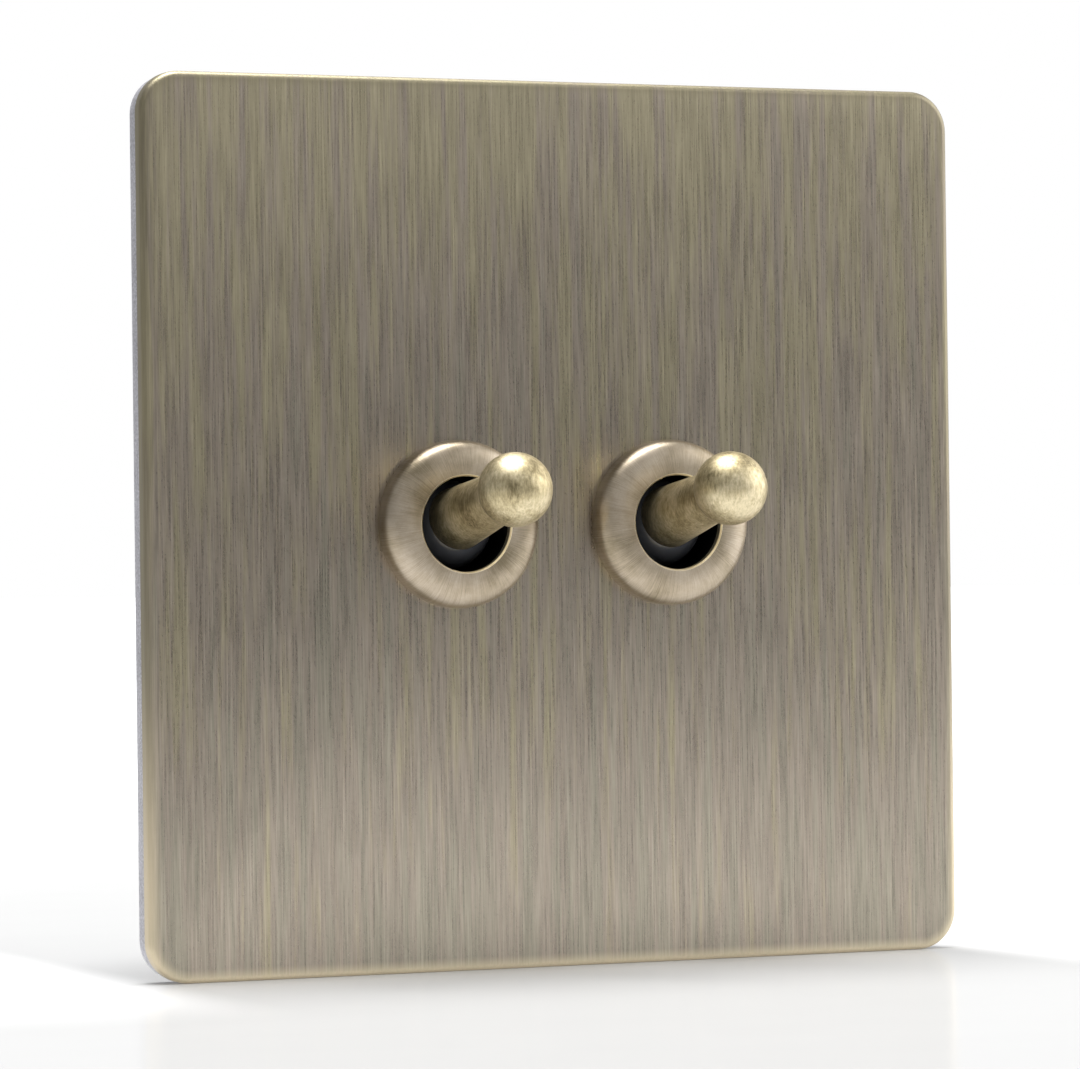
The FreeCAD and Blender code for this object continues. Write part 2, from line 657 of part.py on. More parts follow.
def carriage(side, x):
    low, high = "-footDrop - carriageTall / 2", "carriageTall / 2 - footDrop"
    body = block(f"{side}CarriageBody", ("-carriageHalf", "carriageHalf"),
                 ("carriageFront", "carriageBack"), (low, high))
    nose = rod(f"{side}Nose", "noseRadius", "-noseHalf", "noseHalf",
               ("carriageBack", "-footDrop"), "x")
    room = "footRadius + footGap"
    mouth = block(f"{side}Mouth", ("-footHalf - holeGap", "footHalf + holeGap"),
                  ("carriageFront - slotFloor", "carriageBack - slotFloor"),
                  (f"-footDrop - ({room})", f"{room} - footDrop"))
    solid = join(f"{side}CarriageSolid", [body, nose])
    node(f"{side}_carriage", carve(f"{side}Carriage", solid, [mouth]), x)


# Contact bridge: a plate round the nose with a pad at each end that slides on the fixed contacts

def contactBridge(side, x):
    back = "carriageBack + bridgeThick"
    plate = block(f"{side}BridgePlate", ("-bridgeHalf", "bridgeHalf"), ("carriageBack", back),
                  ("-footDrop - bridgeTall / 2", "bridgeTall / 2 - footDrop"))
    pieces = [plate]
    for sign in ("-", ""):
        pieces.append(rod(f"{side}Pad{len(pieces)}", "padRadius", "carriageBack",
                          "stripFront - contactGap", (f"{sign}stripSpot", "-footDrop")))
    reach = "noseHalf + holeGap"
    room = "noseRadius + holeGap"
    window = block(f"{side}Window", (f"-({reach})", reach), ("carriageBack - slotFloor", "caseBack"),
                   (f"-footDrop - ({room})", f"{room} - footDrop"))
    solid = join(f"{side}BridgeSolid", pieces)
    node(f"{side}_contact_bridge", carve(f"{side}Bridge", solid, [window]), x)


frontPlate()
backFrame()
yoke()
platePins()
fixingScrews()
earthTerminal()
for side, x in gangs.items():
    collar(side, x)
    bushing(side, x)
    lever(side, x)
    dustShield(side, x)
    housingShell(side, x)
    contactBase(side, x)
    for name in terminals:
        terminal(side, x, name)
    terminalScrews(side, x)
    caseScrews(side, x)
    detentSpring(side, x)
    carriage(side, x)
    contactBridge(side, x)
document.recompute()

# Checks, then one STEP file for each sub-part
for item in document.Objects:
    if "Invalid" in item.State or "Error" in item.State:
        raise RuntimeError(f"{item.Label} failed: {item.State}")
for item in nodes:
    if item.Shape.isNull() or not item.Shape.isValid() or not item.Shape.Solids:
        raise RuntimeError(f"{item.Label} has no valid solid")

os.makedirs("parts", exist_ok=True)
for item in nodes:
    item.Shape.exportStep(f"parts/{item.Label}.step")
    print(item.Label, len(item.Shape.Solids), round(item.Shape.Volume, 2))
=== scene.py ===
import json
import math
import bmesh
import bpy
from mathutils import Matrix, Vector


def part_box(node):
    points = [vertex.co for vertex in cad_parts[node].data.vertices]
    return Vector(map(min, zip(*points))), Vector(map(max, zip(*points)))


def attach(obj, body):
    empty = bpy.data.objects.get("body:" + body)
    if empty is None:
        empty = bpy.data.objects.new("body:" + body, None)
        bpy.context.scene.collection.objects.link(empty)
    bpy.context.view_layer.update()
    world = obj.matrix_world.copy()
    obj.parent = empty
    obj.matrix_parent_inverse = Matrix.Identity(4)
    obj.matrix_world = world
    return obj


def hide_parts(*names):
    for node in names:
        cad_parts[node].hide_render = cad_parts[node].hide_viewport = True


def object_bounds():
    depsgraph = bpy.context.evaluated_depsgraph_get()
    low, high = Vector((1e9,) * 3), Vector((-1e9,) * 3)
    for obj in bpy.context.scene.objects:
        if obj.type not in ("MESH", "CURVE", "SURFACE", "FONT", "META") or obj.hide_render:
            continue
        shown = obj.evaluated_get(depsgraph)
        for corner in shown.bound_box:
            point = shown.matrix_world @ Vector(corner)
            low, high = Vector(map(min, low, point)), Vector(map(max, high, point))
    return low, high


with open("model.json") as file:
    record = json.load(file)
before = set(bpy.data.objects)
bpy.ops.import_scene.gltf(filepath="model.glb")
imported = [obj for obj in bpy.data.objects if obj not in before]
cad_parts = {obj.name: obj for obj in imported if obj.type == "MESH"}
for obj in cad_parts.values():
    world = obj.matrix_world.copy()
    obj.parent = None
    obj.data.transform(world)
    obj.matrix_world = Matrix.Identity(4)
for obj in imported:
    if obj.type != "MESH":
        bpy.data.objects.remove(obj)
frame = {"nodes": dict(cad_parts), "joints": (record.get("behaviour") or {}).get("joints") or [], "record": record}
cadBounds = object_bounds()
nodes = frame["nodes"]
pivots = {joint["name"]: Vector(joint["pos_m"]) for joint in frame["joints"] if "pos_m" in joint}
mm = 0.001
sides = ("left", "right")
quarterTurn = math.pi / 2
reliefDepth = 0.03 * mm
sameSpot = 0.02 * mm
weldGap = {"turned": 0.005 * mm, "eased": 0.001 * mm}


# Shader maths: a socket that can be added, multiplied and so on

class Level:
    def __init__(self, paint, socket):
        self.paint = paint
        self.socket = socket

    def sum(self, operation, first, second):
        return self.paint.node("Math", {"operation": operation}, {0: first, 1: second})

    def __add__(self, other):
        return self.sum("ADD", self, other)

    def __radd__(self, other):
        return self.sum("ADD", other, self)

    def __sub__(self, other):
        return self.sum("SUBTRACT", self, other)

    def __rsub__(self, other):
        return self.sum("SUBTRACT", other, self)

    def __mul__(self, other):
        return self.sum("MULTIPLY", self, other)

    def __rmul__(self, other):
        return self.sum("MULTIPLY", other, self)


class Paint:
    def __init__(self, owner, shader, **constants):
        # The owner is a material or the world
        owner.use_nodes = True
        self.owner = owner
        self.tree = owner.node_tree
        self.shader = self.tree.nodes[shader]
        for socket, value in constants.items():
            self.shader.inputs[socket.replace("_", " ")].default_value = value

    def node(self, kind, settings=None, inputs=None, output=0):
        made = self.tree.nodes.new("ShaderNode" + kind)
        for name, value in (settings or {}).items():
            if name == "stops":
                self.setStops(made.color_ramp.elements, value)
            else:
                setattr(made, name, value)
        for name, value in (inputs or {}).items():
            if isinstance(value, Level):
                self.tree.links.new(value.socket, made.inputs[name])
            else:
                made.inputs[name].default_value = value
        return Level(self, made.outputs[output])

    def setStops(self, elements, stops):
        while len(elements) < len(stops):
            elements.new(1.0)
        for element, (place, colour) in zip(elements, stops):
            element.position = place
            element.color = colour if isinstance(colour, tuple) else (colour, colour, colour, 1)

    def place(self, scale=(1, 1, 1), centre=(0, 0, 0)):
        spot = self.node("TexCoord", output="Object")
        moved = self.node("VectorMath", {"operation": "SUBTRACT"}, {0: spot, 1: centre})
        return self.node("VectorMath", {"operation": "MULTIPLY"}, {0: moved, 1: scale})

    def axis(self, vector, name):
        return self.node("SeparateXYZ", None, {0: vector}, output=name)

    def noise(self, vector, detail=2.0, roughness=0.5):
        settings = {"Vector": vector, "Scale": 1.0, "Detail": detail, "Roughness": roughness}
        return self.node("TexNoise", None, settings)

    def evenNoise(self, scale, detail=2.0, roughness=0.5):
        return self.noise(self.place((scale,) * 3), detail, roughness)

    def ramp(self, factor, *stops):
        return self.node("ValToRGB", {"stops": stops}, {0: factor})

    def mix(self, factor, first, second, blend="MIX"):
        settings = {"data_type": "RGBA", "blend_type": blend}
        return self.node("Mix", settings, {"Factor": factor, 6: first, 7: second}, output=2)

    def feed(self, **values):
        for name, value in values.items():
            self.tree.links.new(value.socket, self.shader.inputs[name.replace("_", " ")])
        return self.owner

    def rise(self, value, low, high, top):
        # A smooth step from 0 at low to top at high
        span = {"Value": value, "From Min": low, "From Max": high, "To Max": top}
        return self.node("MapRange", {"interpolation_type": "SMOOTHSTEP"}, span)

    def seenBy(self, *kinds):
        # 1 for the kinds of ray that are named
        paths = [self.node("LightPath", output=kind) for kind in kinds]
        total = paths[0]
        for path in paths[1:]:
            total = self.node("Math", {"operation": "MAXIMUM"}, {0: total, 1: path})
        return total

    def bump(self, height, strength, distance):
        settings = {"Height": height, "Strength": strength, "Distance": distance}
        return self.node("Bump", None, settings)


def newPaint(name, **constants):
    return Paint(bpy.data.materials.new(name), "Principled BSDF", **constants)


def tone(red, green, blue):
    # A colour as it is seen, 0 to 255, turned into the shader's linear values
    linear = [((c / 255 + 0.055) / 1.055) ** 2.4 if c > 10 else c / 255 / 12.92 for c in (red, green, blue)]
    return (*linear, 1)


# Metals

plateLook = {
    "olive": tone(156, 148, 125), "smoke": tone(148, 142, 128), "plum": tone(151, 141, 129),
    "oliveAbove": 1.8, "rough": 0.2, "relief": 0.2, "fine": (7200, 7200, 150),
    "medium": (2500, 2500, 95), "broad": (820, 820, 38), "wide": (60, 60, 26),
    "grain": (8000, 8000, 2600), "straight": 39.0 * mm,
    # The rim colours are painted light: pale for a painted reflection along the foot, dark for a painted shade
    # along the top
    "rimFrom": 2.6 * mm, "rimTo": 4.0 * mm, "rimLow": -38 * mm, "rimHigh": -8 * mm, "rimDepth": 0.62,
    "rimRough": 0.2, "rimPaintedShade": tone(120, 114, 92), "rimPaintedLight": tone(222, 208, 177),
}


def brushedBrass():
    look = plateLook
    paint = newPaint("brushedAntiqueBrass", Metallic=1.0)
    fine = paint.noise(paint.place(look["fine"]), 3.0, 0.6)
    medium = paint.noise(paint.place(look["medium"]), 3.0, 0.6)
    broad = paint.noise(paint.place(look["broad"]), 2.0, 0.5)
    wide = paint.noise(paint.place(look["wide"]), 2.0, 0.5)
    grain = paint.noise(paint.place(look["grain"]), 1.0)
    height = paint.axis(paint.place(), "Z")
    # The hue turns more olive towards the top of the plate
    hue = paint.ramp(broad * 0.65 + medium * 0.2 + wide * 0.15 + height * look["oliveAbove"],
                     (0.36, look["smoke"]), (0.48, look["plum"]), (0.6, look["olive"]))
    streak = fine * 0.6 + medium * 0.25 + grain * 0.06 + wide * 0.09
    shade = paint.ramp(streak, (0.3, 0.58), (0.5, 0.98), (0.68, 1.34))
    colour = paint.mix(1.0, hue, shade, "MULTIPLY")
    # The rounded edge is painted pale along the foot, a painted reflection of the floor, and painted dark along
    # the top, a painted shade that dims its highlight
    straight = look["straight"]
    flat = paint.node("VectorMath", {"operation": "ABSOLUTE"}, {0: paint.place((1, 0, 1))})
    outer = paint.node("VectorMath", {"operation": "SUBTRACT"}, {0: flat, 1: (straight, 0, straight)})
    outer = paint.node("VectorMath", {"operation": "MAXIMUM"}, {0: outer, 1: (0, 0, 0)})
    reach = paint.node("VectorMath", {"operation": "LENGTH"}, {0: outer}, output="Value")
    rim = paint.rise(reach, look["rimFrom"], look["rimTo"], 1.0)
    up = paint.rise(height, look["rimLow"], look["rimHigh"], 1.0)
    paintedEdgeLight = paint.mix(up, look["rimPaintedLight"], look["rimPaintedShade"])
    colour = paint.mix(rim * look["rimDepth"], colour, paintedEdgeLight)
    rough = look["rough"] + fine * 0.12 + grain * 0.06 + rim * look["rimRough"]
    bump = paint.bump(fine * 0.7 + medium * 0.3, look["relief"], reliefDepth)
    return paint.feed(Base_Color=colour, Roughness=rough, Normal=bump)


collarLook = {
    "pale": tone(176, 164, 147), "warm": tone(158, 146, 127), "patina": tone(132, 121, 100),
    "around": 105.0, "outward": 420.0, "twist": 260.0, "cloud": 210, "rough": 0.27, "relief": 0.12,
    "grain": 5200, "dark": 0.88, "light": 1.09, "rim": 4.68 * mm, "rimHalf": 0.09 * mm,
    # The pale rim colour is a painted highlight on the cut edge of the opening
    "rimPaintedLight": tone(236, 226, 204),
}
leverLook = {
    "pale": tone(203, 191, 160), "warm": tone(178, 165, 131), "patina": tone(132, 120, 90),
    "strokes": (4200, 4200, 1100), "cloud": 300, "rough": 0.34, "relief": 0.22,
    "grain": 5200, "dark": 0.78, "light": 1.17,
}


def turnedBrass(name, look, strokes, centre=None):
    # Strokes left by the lathe, with clouds of patina over them
    paint = newPaint(name, Metallic=1.0)
    cloud = paint.evenNoise(look["cloud"], 4.0, 0.6)
    grain = paint.evenNoise(look["grain"], 2.0, 0.7)
    lines = strokes(paint)
    hue = paint.ramp(cloud * 0.7 + lines * 0.3,
                     (0.36, look["patina"]), (0.48, look["warm"]), (0.6, look["pale"]))
    shade = paint.ramp(lines * 0.6 + grain * 0.4, (0.32, look["dark"]), (0.5, 0.98), (0.68, look["light"]))
    colour = paint.mix(1.0, hue, shade, "MULTIPLY")
    if centre:
        # The cut edge of the opening is painted pale, a painted highlight ring
        flat = paint.place((1, 0, 1), centre)
        length = paint.node("VectorMath", {"operation": "LENGTH"}, {0: flat}, output="Value")
        near = {0: length, 1: look["rim"], 2: look["rimHalf"]}
        paintedEdgeLight = paint.node("Math", {"operation": "COMPARE"}, near)
        colour = paint.mix(paintedEdgeLight, colour, look["rimPaintedLight"])
    rough = look["rough"] + cloud * 0.14 + grain * 0.1
    bump = paint.bump(lines * 0.6 + grain * 0.4, look["relief"], reliefDepth)
    return paint.feed(Base_Color=colour, Roughness=rough, Normal=bump)


def radialStrokes(centre):
    # Strokes that run outward from the centre of a collar, with a slight twist
    def lines(paint):
        flat = paint.place((1, 0, 1), centre)
        outward = paint.node("VectorMath", {"operation": "NORMALIZE"}, {0: flat})
        length = paint.node("VectorMath", {"operation": "LENGTH"}, {0: flat}, output="Value")
        across = paint.axis(outward, "X")
        up = paint.axis(outward, "Z")
        bend = length * collarLook["twist"]
        scale = collarLook["around"]
        vector = paint.node("CombineXYZ", None, {0: across * scale + up * bend,
                                                 1: up * scale - across * bend,
                                                 2: length * collarLook["outward"]})
        return paint.noise(vector, 3.0, 0.65)
    return lines


def uprightStrokes(paint):
    return paint.noise(paint.place(leverLook["strokes"]), 3.0, 0.65)


def plainMetal(name, colour, rough, cloudScale=400, relief=0.08):
    paint = newPaint(name, Metallic=1.0)
    cloud = paint.evenNoise(cloudScale, 4.0, 0.6)
    grain = paint.evenNoise(5000)
    shade = paint.ramp(cloud * 0.6 + grain * 0.4, (0.3, 0.78), (0.5, 1.0), (0.7, 1.12))
    tinted = paint.mix(1.0, shade, colour, "MULTIPLY")
    spread = rough - 0.06 + cloud * 0.14
    return paint.feed(Base_Color=tinted, Roughness=spread, Normal=paint.bump(grain, relief, reliefDepth))


def silverLacquer():
    paint = newPaint("satinSilverLacquer", Metallic=0.55, Coat_Weight=0.15, Coat_Roughness=0.3)
    flake = paint.evenNoise(3600, 2.0, 0.7)
    cloud = paint.evenNoise(240, 3.0)
    colour = paint.ramp(flake * 0.75 + cloud * 0.25,
                        (0.34, tone(134, 133, 140)), (0.5, tone(168, 167, 174)), (0.66, tone(200, 199, 206)))
    rough = 0.36 + flake * 0.18
    return paint.feed(Base_Color=colour, Roughness=rough, Normal=paint.bump(flake, 0.25, reliefDepth))


# Plastics

def moulded(name, colour, rough, grainScale, relief, coat=0.0):
    paint = newPaint(name, Coat_Weight=coat, Coat_Roughness=0.08)
    grain = paint.evenNoise(grainScale, 3.0, 0.6)
    cloud = paint.evenNoise(180, 3.0)
    shade = paint.ramp(grain * 0.3 + cloud * 0.7, (0.35, 0.86), (0.5, 1.0), (0.65, 1.1))
    tinted = paint.mix(1.0, shade, colour, "MULTIPLY")
    spread = rough - 0.05 + grain * 0.1
    return paint.feed(Base_Color=tinted, Roughness=spread, Normal=paint.bump(grain, relief, reliefDepth))


finishes = {
    "antique_brass": brushedBrass(),
    "frame_silver": silverLacquer(),
    "zinc_steel": plainMetal("zincPlatedSteel", tone(196, 198, 203), 0.32),
    "pin_steel": plainMetal("brightSteel", tone(186, 187, 190), 0.24),
    "terminal_brass": plainMetal("terminalBrass", tone(214, 184, 112), 0.28),
    "contact_bronze": plainMetal("springBronze", tone(206, 160, 112), 0.28),
    "lever_brass": turnedBrass("turnedLeverBrass", leverLook, uprightStrokes),
    # The bushing inside the collar is coloured near black, though its slot is brass
    "bushing_brass": plainMetal("nearBlackBushing", tone(46, 44, 42), 0.35),
    "black_dome": moulded("glossBlackDome", tone(66, 68, 73), 0.34, 2400, 0.04, 1.0),
    "black_housing": moulded("mouldedBlack", tone(44, 45, 48), 0.48, 5200, 0.25),
    "grey_base": moulded("mouldedGrey", tone(176, 178, 180), 0.46, 5200, 0.2),
    "catch_nylon": moulded("naturalNylon", tone(224, 222, 210), 0.4, 3000, 0.12),
}
slotOf = {part["node"]: part["material_slot"] for part in frame["record"]["subparts"]}
for name, part in nodes.items():
    part.data.materials.clear()
    part.data.materials.append(finishes[slotOf[name]])
print("finishes made")


# Modelling helpers

def begin():
    if bpy.context.object and bpy.context.object.mode != "OBJECT":
        bpy.ops.object.mode_set(mode="OBJECT")
    bpy.ops.object.select_all(action="DESELECT")


def choose(piece):
    begin()
    piece.select_set(True)
    bpy.context.view_layer.objects.active = piece


def settle(piece):
    choose(piece)
    bpy.ops.object.transform_apply(location=True, rotation=True, scale=True)
    return piece


def drum(name, radius, low, high, spot=(0, 0), steps=64):
    # A round bar along Y, from low to high
    begin()
    middle = (spot[0], (low + high) / 2, spot[1])
    bpy.ops.mesh.primitive_cone_add(vertices=steps, radius1=radius, radius2=radius, depth=high - low,
                                    location=middle, rotation=(quarterTurn, 0, 0))
    piece = bpy.context.object
    piece.name = name
    return settle(piece)


def slab(name, low, high):
    begin()
    size = Vector(high) - Vector(low)
    middle = (Vector(high) + Vector(low)) / 2
    bpy.ops.mesh.primitive_cube_add(size=1, location=middle, scale=size)
    piece = bpy.context.object
    piece.name = name
    return settle(piece)


def globe(name, radius, centre, steps=96):
    begin()
    bpy.ops.mesh.primitive_uv_sphere_add(segments=steps, ring_count=steps // 2, radius=radius,
                                         location=centre, rotation=(quarterTurn, 0, 0))
    piece = bpy.context.object
    piece.name = name
    return settle(piece)


def turned(name, outline, centre, steps):
    # Turn a closed outline of (radius, y) corners about an axis along Y
    begin()
    bpy.ops.mesh.primitive_circle_add(vertices=3, radius=mm)
    piece = bpy.context.object
    piece.name = name
    edit(piece)
    shape = bmesh.from_edit_mesh(piece.data)
    bmesh.ops.delete(shape, geom=shape.verts[:], context="VERTS")
    corners = [shape.verts.new((centre[0] + out, y, centre[1])) for out, y in outline]
    for here, there in zip(corners, corners[1:] + corners[:1]):
        shape.edges.new((here, there))
    bmesh.update_edit_mesh(piece.data)
    bpy.ops.mesh.select_all(action="SELECT")
    bpy.ops.mesh.spin(steps=steps, angle=2 * math.pi, center=(centre[0], 0, centre[1]), axis=(0, 1, 0))
    bpy.ops.mesh.select_all(action="SELECT")
    bpy.ops.mesh.remove_doubles(threshold=weldGap["turned"])
    bpy.ops.mesh.normals_make_consistent(inside=False)
    bpy.ops.object.mode_set(mode="OBJECT")
    return piece


def combine(piece, other, operation):
    choose(piece)
    step = piece.modifiers.new("combine", "BOOLEAN")
    step.operation = operation
    step.solver = "EXACT"
    step.object = other
    bpy.ops.object.modifier_apply(modifier=step.name)
    bpy.data.objects.remove(other, do_unlink=True)
    return piece


def edit(piece):
    choose(piece)
    bpy.ops.object.mode_set(mode="EDIT")


def pick(piece, kind, test):
    bpy.ops.mesh.select_mode(type=kind)
    bpy.ops.mesh.select_all(action="DESELECT")
    shape = bmesh.from_edit_mesh(piece.data)
    items = {"VERT": shape.verts, "EDGE": shape.edges, "FACE": shape.faces}[kind]
    for item in items:
        item.select = test(item)
    shape.select_flush_mode()
    bmesh.update_edit_mesh(piece.data)


def near(one, other):
    return abs(one - other) < sameSpot


def smooth(piece, degrees=35):
    choose(piece)
    bpy.ops.object.shade_smooth_by_angle(angle=math.radians(degrees))
    return piece


def finish(piece, name, body=None, material=None):
    # Hand a piece over: its finish, the node that it stands for and the body that it rides on
    piece.data.materials.clear()
    piece.data.materials.append(material or finishes[slotOf[name]])
    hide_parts(name)
    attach(piece, body or "switch_body")


def roundCorners(piece, radius, steps):
    edit(piece)
    pick(piece, "EDGE", lambda edge: near((edge.verts[0].co - edge.verts[1].co).xz.length, 0))
    bpy.ops.mesh.bevel(offset=radius, segments=steps, profile=0.5, affect="EDGES")
    bpy.ops.object.mode_set(mode="OBJECT")


def easeRim(piece, y, width, steps):
    # Bevel the edges all round a flat face at y
    edit(piece)
    pick(piece, "EDGE", lambda edge: near(edge.verts[0].co.y, y) and near(edge.verts[1].co.y, y)
         and len({round(face.normal.y, 1) for face in edge.link_faces}) > 1)
    bpy.ops.mesh.bevel(offset=width, segments=steps, profile=0.5, affect="EDGES")
    bpy.ops.object.mode_set(mode="OBJECT")


# Front plate

frontPlate = {"corner": 4.0 * mm, "cornerSteps": 16, "edge": 0.65 * mm, "edgeSteps": 8, "hole": 6.3 * mm}


def makeFrontPlate():
    low, high = (Vector(corner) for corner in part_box("front_plate"))
    piece = slab("frontPlate", low, high)
    roundCorners(piece, frontPlate["corner"], frontPlate["cornerSteps"])
    easeRim(piece, low.y, frontPlate["edge"], frontPlate["edgeSteps"])
    for side in sides:
        pivot = pivots[f"{side}_lever_tilt"]
        hole = drum("hole", frontPlate["hole"], low.y - mm, high.y + mm, (pivot.x, pivot.z))
        combine(piece, hole, "DIFFERENCE")
    smooth(piece)
    finish(piece, "front_plate")


# Back frame

backFrame = {"corner": 3.8 * mm, "cornerSteps": 16, "edge": 0.25 * mm, "pryHigh": 0.5 * mm,
             "pryHalf": 3.1 * mm, "pryDeep": 1.2 * mm, "nutHole": 8.58 * mm, "headHole": 4.0 * mm,
             "catchHole": 2.05 * mm, "catchGap": 0.05 * mm, "recessGap": 0.2 * mm, "edgeSteps": 3,
             "holeSteps": 48}


def makeBackFrame():
    look = backFrame
    low, high = (Vector(corner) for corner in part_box("back_frame"))
    yokeLow, yokeHigh = (Vector(corner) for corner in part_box("yoke"))
    piece = slab("backFrame", low, high)
    roundCorners(piece, look["corner"], look["cornerSteps"])
    for y in (high.y, low.y):
        easeRim(piece, y, look["edge"], look["edgeSteps"])
    gap = look["recessGap"]
    recess = slab("recess", (yokeLow.x - gap, yokeLow.y, yokeLow.z - gap),
                  (yokeHigh.x + gap, high.y + mm, yokeHigh.z + gap))
    combine(piece, recess, "DIFFERENCE")
    pry = slab("pry", (low.x - mm, low.y - mm, -look["pryHalf"]),
               (low.x + look["pryDeep"], low.y + look["pryHigh"], look["pryHalf"]))
    combine(piece, pry, "DIFFERENCE")
    holes = [(look["nutHole"], pivots[f"{side}_lever_tilt"].x, 0) for side in sides]
    screwLow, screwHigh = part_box("fixing_screws")
    reach = screwHigh[0] - screwHigh[2]
    holes += [(look["headHole"], reach, 0), (look["headHole"], -reach, 0)]
    catchLow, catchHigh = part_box("pin_catches")
    spot = catchHigh[0] - look["catchHole"] + look["catchGap"]
    holes += [(look["catchHole"], x, z) for x in (-spot, spot) for z in (-spot, spot)]
    for radius, x, z in holes:
        hole = drum("hole", radius, low.y - mm, high.y + mm, (x, z), look["holeSteps"])
        combine(piece, hole, "DIFFERENCE")
    smooth(piece)
    finish(piece, "back_frame")


# Collar rings: one outline turned about the axis, with a domed face that runs into a round shoulder

collar = {"steps": 144, "domeSteps": 28, "domePower": 2.5, "domeDrop": 2.0 * mm, "hole": 4.6 * mm,
          "lip": 0.8 * mm, "thread": 6.05 * mm, "chamfer": 0.15 * mm}


def collarOutline(radius, height):
    # Corners as (radius, distance behind the front), from the wall side of the rim to the thread
    look = collar
    inner = look["hole"] + look["chamfer"]
    corners = [(radius, height)]
    for step in range(look["domeSteps"], -1, -1):
        part = math.sin(quarterTurn * step / look["domeSteps"])
        fall = 1 - (1 - part ** look["domePower"]) ** (1 / look["domePower"])
        corners.append((inner + (radius - inner) * part, look["domeDrop"] * fall))
    corners += [(look["hole"], look["chamfer"]), (look["hole"], look["lip"]),
                (look["thread"], look["lip"]), (look["thread"], height)]
    return corners


def makeCollar(side):
    low, high = (Vector(corner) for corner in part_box(f"{side}_collar"))
    centre = (low + high) / 2
    corners = [(out, low.y + back) for out, back in collarOutline((high.x - low.x) / 2, high.y - low.y)]
    piece = turned(f"{side}Collar", corners, (centre.x, centre.z), collar["steps"])
    smooth(piece, 30)
    look = turnedBrass(f"{side}CollarBrass", collarLook, radialStrokes(tuple(centre)), tuple(centre))
    finish(piece, f"{side}_collar", material=look)


# Levers: ball, tapered shaft, hub, stem and foot

lever = {"tilt": 10.5, "ball": 3.54 * mm, "reach": 16.95 * mm, "tip": 2.25 * mm, "root": 3.05 * mm,
         "rootSpot": 3.0 * mm, "hubBack": 3.0 * mm, "stem": 1.5 * mm, "stemBack": 9.0 * mm,
         "ankle": 1.0 * mm, "foot": 1.5 * mm, "footReach": 12.0 * mm, "footHalf": 3.0 * mm,
         "eye": 0.95 * mm, "ballSteps": 56, "seam": 0.1 * mm}


def swing(piece, pivot):
    # Turn a piece that was built straight about its pivot to its stored angle
    piece.rotation_euler = (-math.radians(lever["tilt"]), 0, 0)
    piece.location = pivot
    return settle(piece)


def leverOutline():
    # Corners as (radius, y) from the ball's front to the end of the stem
    look = lever

    def shaftRadius(y):
        part = (y + look["reach"]) / (look["reach"] - look["rootSpot"])
        return look["tip"] + (look["root"] - look["tip"]) * part

    corners = []
    for step in range(look["ballSteps"]):
        turn = math.pi * step / look["ballSteps"]
        out, y = look["ball"] * math.sin(turn), -look["reach"] - look["ball"] * math.cos(turn)
        if y < -look["reach"] or out > shaftRadius(y):
            corners.append((out, y))
    joint = corners[-1][1] + look["seam"]
    corners += [(shaftRadius(joint), joint), (look["root"], -look["rootSpot"]),
                (look["root"], look["hubBack"]), (look["stem"], look["hubBack"]),
                (look["stem"], look["stemBack"]), (look["ankle"], look["stemBack"]),
                (look["ankle"], look["footReach"]), (0, look["footReach"])]
    return corners


def makeLever(side):
    look = lever
    piece = turned(f"{side}Lever", leverOutline(), (0, 0), 96)
    foot = drum("foot", look["foot"], -look["footHalf"], look["footHalf"])
    foot.rotation_euler = (0, 0, quarterTurn)
    foot.location = (0, look["footReach"], 0)
    combine(piece, settle(foot), "UNION")
    eye = drum("eye", look["eye"], -2 * look["root"], 2 * look["root"])
    eye.rotation_euler = (0, 0, quarterTurn)
    combine(piece, settle(eye), "DIFFERENCE")
    swing(piece, pivots[f"{side}_lever_tilt"])
    smooth(piece, 30)
    finish(piece, f"{side}_lever", f"{side}_lever_body")


# Dust shields: a black dome round each lever's root

shield = {"radius": 4.4 * mm, "back": 1.5 * mm, "hub": 3.07 * mm}


def makeShield(side):
    piece = globe(f"{side}DustShield", shield["radius"], (0, 0, 0))
    edit(piece)
    bpy.ops.mesh.select_all(action="SELECT")
    bpy.ops.mesh.bisect(plane_co=(0, shield["back"], 0), plane_no=(0, 1, 0), use_fill=True,
                        clear_outer=True)
    bpy.ops.object.mode_set(mode="OBJECT")
    reach = 2 * shield["radius"]
    combine(piece, drum("hub", shield["hub"], -reach, reach, steps=96), "DIFFERENCE")
    swing(piece, pivots[f"{side}_lever_tilt"])
    smooth(piece, 30)
    finish(piece, f"{side}_dust_shield", f"{side}_lever_body")


# Fixing screws: a flat slotted head with a chamfered rim and a shank with thread ridges

fixing = {"head": 3.5 * mm, "headHigh": 1.0 * mm, "edge": 0.25 * mm, "neck": 2.05 * mm, "crest": 1.75 * mm,
          "root": 1.45 * mm, "pitch": 0.6 * mm, "tip": 1.1 * mm, "slot": 0.8 * mm, "steps": 40}


